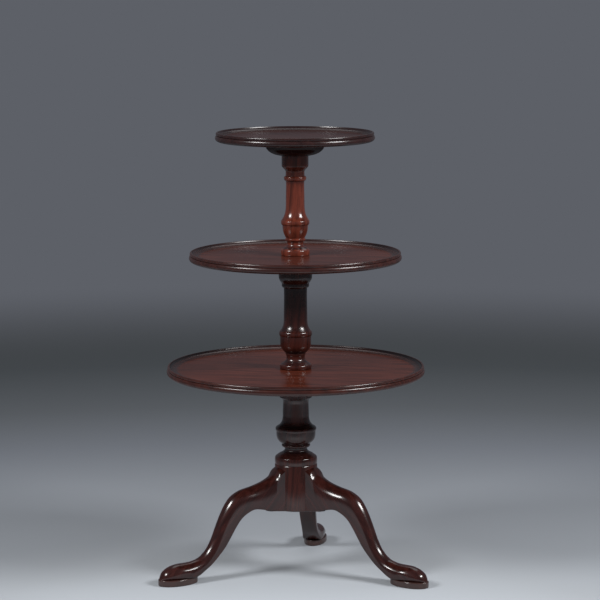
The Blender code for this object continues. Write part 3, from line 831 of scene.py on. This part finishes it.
def leg_stations(reach):
    """Sections from the root to the toe of a leg with this reach.

    Each is the reach and height of the top, the reach and height of the underside, the width, and the
    crown's height and the lower corner as shares of the width.
    """
    heel = reach - PAD_LENGTH
    span = heel - LEG_ROOT
    crowns = (ROOT_CROWN_SHARE, CORNER_SHARE)
    stations = [(LEG_ROOT, DRUM_TOP, LEG_ROOT, PEDESTAL_BOTTOM, LEG_ROOT_WIDTH, *crowns)]
    for along, height, seat, width, crown in LEG_ROOT_SHARES:
        under = seat * SEAT_LENGTH
        low = PEDESTAL_BOTTOM + SEAT_SLOPE_SHARE * under
        top = (LEG_ROOT + along * span, height * DRUM_TOP)
        stations.append((*top, LEG_ROOT + under, low, width * LEG_ROOT_WIDTH, crown, CORNER_SHARE))
    for along, height, under, low, width in LEG_SHAFT_SHARES:
        top = (LEG_ROOT + along * span, height * DRUM_TOP)
        below = (LEG_ROOT + under * span, low * DRUM_TOP)
        stations.append((*top, *below, width * LEG_ROOT_WIDTH, CROWN_SHARE, CORNER_SHARE))
    for along, height, under, low, width, corner in LEG_FOOT_SHARES:
        top = (heel + along * PAD_LENGTH, height * DRUM_TOP)
        below = (heel + under * PAD_LENGTH, low * PAD_HEIGHT)
        stations.append((*top, *below, width * PAD_WIDTH, CROWN_SHARE, corner))
    return [Vector(station) for station in stations]


def smooth_stations(stations, steps):
    """A smooth curve through the stations, with this many rings from one to the next."""
    padded = [2 * stations[0] - stations[1], *stations, 2 * stations[-1] - stations[-2]]
    for before, start, end, after in zip(padded, padded[1:], padded[2:], padded[3:]):
        for step in range(steps):
            t = step / steps
            yield 0.5 * (
                2 * start
                + (end - before) * t
                + (2 * before - 5 * start + 4 * end - after) * t**2
                + (3 * start - before - 3 * end + after) * t**3
            )
    yield stations[-1]


def leg_section(width, depth, crown_share, corner_share):
    """Half of a leg's section: places across and up, from the lower corner to the crown."""
    half = width / 2
    corner = corner_share * width
    crown = min(crown_share * width, CROWN_LIMIT_SHARE * depth)
    section = [(half / 2, 0)]
    for step in range(CORNER_STEPS + 1):
        angle = step / CORNER_STEPS * math.pi / 2
        section.append((half - corner + corner * math.sin(angle), corner * (1 - math.cos(angle))))
    section.append((half, (corner + depth - crown) / 2))
    for step in range(CROWN_STEPS + 1):
        angle = ARRIS_ANGLE + step / CROWN_STEPS * (math.pi / 2 - ARRIS_ANGLE)
        rise = (math.sin(angle) - math.sin(ARRIS_ANGLE)) / (1 - math.sin(ARRIS_ANGLE))
        section.append((half * math.cos(angle) / math.cos(ARRIS_ANGLE), depth - crown * (1 - rise)))
    section[-1] = (0, depth)
    return section


def leg_ring(station):
    """Points round one section of the leg."""
    top = Vector((station[0], 0, station[1]))
    under = Vector((station[2], 0, station[3]))
    depth = (top - under).length
    rise = (top - under) / depth
    half = leg_section(station[4], depth, station[5], station[6])
    mirrored = [(-across, up) for across, up in reversed(half[:-1])]
    return [under + Vector((0, across, 0)) + up * rise for across, up in half + mirrored]


def toe_rings(ring):
    """Rings that round the last section off to the toe, within the pad."""
    middle = sum(ring, Vector()) / len(ring)
    for step in range(1, TOE_STEPS):
        angle = step / TOE_STEPS * math.pi / 2
        reach = Vector((TOE_LENGTH * math.sin(angle), 0, 0))
        yield [middle + reach + (point - middle) * math.cos(angle) for point in ring]


def pad_ring(reach, inset, height):
    """An oval round the pad, wider towards the toe."""
    length = PAD_LENGTH / 2 - inset
    width = PAD_WIDTH / 2 - inset
    centre = reach - PAD_LENGTH / 2
    ring = []
    for number in range(PAD_SEGMENTS):
        angle = number * 2 * math.pi / PAD_SEGMENTS
        fullness = 1 + PAD_FULLNESS_SHARE * math.cos(angle)
        across = width * fullness * math.sin(angle)
        ring.append(Vector((centre + length * math.cos(angle), across, height)))
    return ring


def pad_rings(reach):
    """Rings of the pad: a flat sole, a rounded lip below and above, and a flat top."""
    angles = [step / PAD_EDGE_STEPS * math.pi / 2 for step in range(PAD_EDGE_STEPS + 1)]
    rings = []
    for angle in angles:
        inset = PAD_EDGE * (1 - math.sin(angle))
        rings.append(pad_ring(reach, inset, PAD_EDGE * (1 - math.cos(angle))))
    for angle in angles:
        inset = PAD_EDGE * (1 - math.cos(angle))
        rings.append(pad_ring(reach, inset, PAD_HEIGHT - PAD_EDGE + PAD_EDGE * math.sin(angle)))
    return rings


def skin(bm, rings):
    """Bridges rings of points into a closed skin."""
    loops = []
    for ring in rings:
        verts = [bm.verts.new(point) for point in ring]
        loops.append([bm.edges.new(pair) for pair in zip(verts, verts[1:] + verts[:1])])
    for near, far in zip(loops, loops[1:]):
        bmesh.ops.bridge_loops(bm, edges=near + far)
    bmesh.ops.holes_fill(bm, edges=loops[0] + loops[-1])


class DUMBWAITER_OT_carve_legs(Operator):
    """Carve the three cabriole legs with their pad feet"""

    bl_idname = "dumbwaiter.carve_legs"
    bl_label = "Carve Legs"

    def execute(self, context):
        wood = context.scene.dumbwaiter_mahogany
        steps = context.scene.dumbwaiter_turning.leg_steps
        for seed, (name, turn) in enumerate(LEG_TURNS.items(), FIRST_LEG_SEED):
            reach = LEG_REACHES[name]
            rings = [leg_ring(station) for station in smooth_stations(leg_stations(reach), steps)]
            rings += toe_rings(rings[-1])
            bm = bmesh.new()
            skin(bm, rings)
            skin(bm, pad_rings(reach))
            place = Matrix.Translation(AXIS) @ Matrix.Rotation(turn, 4, "Z")
            bmesh.ops.transform(bm, matrix=place, verts=bm.verts)
            # The leg is sawn so that its grain runs down the shin.
            fall = Matrix.Rotation(-LEG_GRAIN_FALL, 3, "Y") @ Matrix.Rotation(-turn, 3, "Z")
            centre = -(fall @ AXIS)
            material = polished_mahogany(
                f"polished_mahogany_{name}_leg",
                fall.to_euler(),
                centre,
                wood.leg_light,
                seed=seed,
                scuffed=True,
            )
            leg = finished_object(f"cabriole_leg_{name}", bm, material)
            stand_for(leg, f"leg_{name}", "stand")
        return {"FINISHED"}


class DUMBWAITER_OT_finish_ironwork(Operator):
    """Blacken the brace and the screws"""

    bl_idname = "dumbwaiter.finish_ironwork"
    bl_label = "Finish Ironwork"

    def execute(self, context):
        iron = blackened_iron()
        for name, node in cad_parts.items():
            if name == "leg_brace" or "screw" in name:
                node.data.materials.clear()
                node.data.materials.append(iron)
        return {"FINISHED"}


# Studio

BACKDROP = "#5d6067"
PAPER_RADIUS = 30.0
PAPER_SEGMENTS = 96
PAPER_FADE = (3.0, 5.0)  # metres from the table over which the paper takes the backdrop's colour
PAINTED_LIGHT_POOL = (0.0, -0.9, 0.0)  # middle of the pool of light painted on the paper
PAINTED_POOL_FRONT_FALL = 3.5  # how much quicker the painted pool of light fades on the camera's side
# Tones of the paper with its painted pool of light: metres from that middle, colour
PAINTED_LIGHT_PAPER_TONES = (
    (0.0, "#e6eaee"),
    (0.35, "#dadee3"),
    (0.6, "#c3c9d0"),
    (0.95, "#acb1b7"),
    (1.25, "#9ea3aa"),
    (1.9, "#959aa2"),
    (2.4, "#858a93"),
    (3.0, "#73787e"),
    (3.8, "#666c71"),
    (4.8, "#707579"),
)
# Softboxes: name, azimuth, elevation, distance, width, height, share of the radiance, mirrored or not.
# The polish mirrors two in front and a wide one behind. The last only fills the shadows.
SOFTBOXES = (
    ("softbox_left", math.radians(-55), math.radians(34), 3.2, 0.95, 0.7, 1.0, True),
    ("softbox_right", math.radians(66), math.radians(34), 3.2, 1.15, 0.7, 1.0, True),
    ("softbox_back", math.radians(175), math.radians(58), 3.6, 2.6, 2.2, 0.035, True),
    ("softbox_fill", math.radians(5), math.radians(30), 5.0, 2.5, 2.0, 0.08, False),
)
LAMP_AIM_HEIGHT = 0.5
CAMERA_SENSOR = 36.0  # millimetres, as the lens
CAMERA_LENS = 152.24
CAMERA_PITCH = math.radians(8.28)
CAMERA_YAW = -0.0018
CAMERA_ROLL = -0.0030


def seen_directly(tree):
    """A factor that is 1 for rays from the camera and for rays that a surface mirrors or lets through."""
    rays = add_node(tree, "LightPath").outputs
    mirrored = add_node(
        tree, "Math", {0: rays["Is Glossy Ray"], 1: rays["Is Transmission Ray"]}, operation="MAXIMUM"
    ).outputs[0]
    return add_node(tree, "Math", {0: rays["Is Camera Ray"], 1: mirrored}, operation="MAXIMUM").outputs[0]


class DUMBWAITER_OT_set_stage(Operator):
    """Set the pale floor, the softboxes, the even fill and the camera"""

    bl_idname = "dumbwaiter.set_stage"
    bl_label = "Set Stage"

    def execute(self, context):
        scene = context.scene
        scene.view_settings.view_transform = "Standard"
        self.lay_floor()
        self.light_world()
        for softbox in SOFTBOXES:
            self.hang_softbox(*softbox)
        self.place_camera()
        return {"FINISHED"}

    def lay_floor(self):
        """Pale paper with a painted pool of light in front of the table, that meets the backdrop far away."""
        bm = bmesh.new()
        bmesh.ops.create_circle(bm, cap_ends=True, segments=PAPER_SEGMENTS, radius=PAPER_RADIUS)
        bmesh.ops.translate(bm, vec=AXIS, verts=bm.verts)
        material, tree, shader = new_material("pale_studio_paper")
        place = add_node(tree, "TexCoord").outputs["Object"]
        offset = add_node(
            tree, "VectorMath", {0: place, 1: PAINTED_LIGHT_POOL}, operation="SUBTRACT"
        ).outputs[0]
        front = add_node(
            tree, "VectorMath", {0: offset, 1: (0.0, 0.0, 0.0)}, operation="MINIMUM"
        ).outputs[0]
        fall = (0.0, PAINTED_POOL_FRONT_FALL - 1, 0.0)
        stretched = add_node(
            tree, "VectorMath", {0: front, 1: fall, 2: offset}, operation="MULTIPLY_ADD"
        ).outputs[0]
        from_pool = add_node(tree, "VectorMath", {0: stretched}, operation="LENGTH").outputs["Value"]
        farthest = PAINTED_LIGHT_PAPER_TONES[-1][0]
        along = add_node(tree, "Math", {0: from_pool, 1: farthest}, operation="DIVIDE").outputs[0]
        # Painted light: the paper's tone falls off with distance from the pool.
        ramp = add_node(tree, "ValToRGB", {"Fac": along})
        elements = ramp.color_ramp.elements
        for _ in PAINTED_LIGHT_PAPER_TONES[2:]:
            elements.new(1)
        for element, (metres, code) in zip(elements, PAINTED_LIGHT_PAPER_TONES):
            element.position = metres / farthest
            element.color = linear(code)
        tree.links.new(ramp.outputs["Color"], shader.inputs["Base Color"])
        # Uncoated paper is matt, with a faint sheen at a low angle.
        shader.inputs["Roughness"].default_value = 0.85
        shader.inputs["Specular IOR Level"].default_value = 0.2
        # Far away the paper is seen in the backdrop's own colour.
        seen = seen_directly(tree)
        glow = add_node(tree, "Emission", {"Color": linear(BACKDROP), "Strength": seen}).outputs[0]
        from_table = add_node(
            tree, "VectorMath", {0: place, 1: AXIS}, operation="DISTANCE"
        ).outputs["Value"]
        far = add_node(
            tree,
            "MapRange",
            {"Value": from_table, "From Min": PAPER_FADE[0], "From Max": PAPER_FADE[1]},
            interpolation_type="SMOOTHSTEP",
        ).outputs["Result"]
        mix = add_node(tree, "MixShader", {0: far, 1: shader.outputs[0], 2: glow}).outputs[0]
        tree.links.new(mix, tree.nodes["Material Output"].inputs["Surface"])
        floor = finished_object("studio_floor", bm, material)

    def light_world(self):
        """Even light from all sides, where the camera and the polish see a plain grey backdrop instead."""
        world = bpy.data.worlds.new("studio_world")
        bpy.context.scene.world = world
        world.use_nodes = True
        tree = world.node_tree
        tree.nodes.clear()
        fill = add_node(
            tree,
            "Background",
            {"Color": (1, 1, 1, 1), "Strength": bpy.context.scene.dumbwaiter_studio.world_strength},
        ).outputs[0]
        backdrop = add_node(tree, "Background", {"Color": linear(BACKDROP), "Strength": 1.0}).outputs[0]
        mix = add_node(tree, "MixShader", {0: seen_directly(tree), 1: fill, 2: backdrop}).outputs[0]
        add_node(tree, "OutputWorld", {"Surface": mix})

    def hang_softbox(self, name, azimuth, elevation, distance, width, height, share, mirrored):
        """A softbox aimed at the middle of the table. Its azimuth turns from the front to the right."""
        lamp = bpy.data.lights.new(name, "AREA")
        lamp.shape = "RECTANGLE"
        lamp.size = width
        lamp.size_y = height
        radiance = share * bpy.context.scene.dumbwaiter_studio.lamp_radiance
        lamp.energy = radiance * math.pi * width * height
        obj = bpy.data.objects.new(name, lamp)
        bpy.context.scene.collection.objects.link(obj)
        across = math.cos(elevation)
        away = Vector((math.sin(azimuth) * across, -math.cos(azimuth) * across, math.sin(elevation)))
        target = AXIS + Vector((0, 0, LAMP_AIM_HEIGHT))
        obj.location = target + distance * away
        obj.rotation_euler = away.to_track_quat("Z", "Y").to_euler()
        obj.visible_glossy = mirrored

    def place_camera(self):
        """The photograph's viewpoint: a long lens above the table, a little to its right."""
        studio = bpy.context.scene.dumbwaiter_studio
        camera = bpy.data.cameras.new("camera")
        camera.sensor_width = CAMERA_SENSOR
        camera.lens = CAMERA_LENS
        obj = bpy.data.objects.new("camera", camera)
        bpy.context.scene.collection.objects.link(obj)
        turn = Matrix.Rotation(studio.azimuth, 4, "Z")
        place = Matrix.Translation((0, -studio.distance, studio.height))
        aim = Euler((math.pi / 2 - CAMERA_PITCH, 0, CAMERA_YAW)).to_matrix().to_4x4()
        roll = Matrix.Rotation(CAMERA_ROLL, 4, "Z")
        obj.matrix_world = Matrix.Translation(AXIS) @ turn @ place @ aim @ roll
        bpy.context.scene.camera = obj


class DUMBWAITER_PT_panel(Panel):
    """Sizes and colours of the table, and the steps that make it"""

    bl_idname = "DUMBWAITER_PT_panel"
    bl_label = "Dumb-waiter Table"
    bl_space_type = "VIEW_3D"
    bl_region_type = "UI"
    bl_category = "Dumb-waiter"

    def draw(self, context):
        layout = self.layout
        for settings in ("dumbwaiter_mahogany", "dumbwaiter_turning", "dumbwaiter_studio"):
            box = layout.box()
            group = getattr(context.scene, settings)
            for name in group.bl_rna.properties.keys():
                if name not in ("rna_type", "name"):
                    box.prop(group, name)
        for operator in OPERATORS:
            layout.operator(operator.bl_idname)


OPERATORS = (
    DUMBWAITER_OT_turn_column,
    DUMBWAITER_OT_turn_tiers,
    DUMBWAITER_OT_carve_legs,
    DUMBWAITER_OT_finish_ironwork,
    DUMBWAITER_OT_set_stage,
)
SETTINGS = {
    "dumbwaiter_mahogany": MahoganySettings,
    "dumbwaiter_turning": TurningSettings,
    "dumbwaiter_studio": StudioSettings,
}


def register():
    for group in SETTINGS.values():
        bpy.utils.register_class(group)
    for name, group in SETTINGS.items():
        setattr(bpy.types.Scene, name, PointerProperty(type=group))
    for operator in OPERATORS:
        bpy.utils.register_class(operator)
    bpy.utils.register_class(DUMBWAITER_PT_panel)


def unregister():
    bpy.utils.unregister_class(DUMBWAITER_PT_panel)
    for operator in reversed(OPERATORS):
        bpy.utils.unregister_class(operator)
    for name, group in SETTINGS.items():
        delattr(bpy.types.Scene, name)
        bpy.utils.unregister_class(group)


def main():
    register()
    bpy.ops.dumbwaiter.turn_column()
    bpy.ops.dumbwaiter.turn_tiers()
    bpy.ops.dumbwaiter.carve_legs()
    bpy.ops.dumbwaiter.finish_ironwork()
    bpy.ops.dumbwaiter.set_stage()


if __name__ == "__main__":
    main()
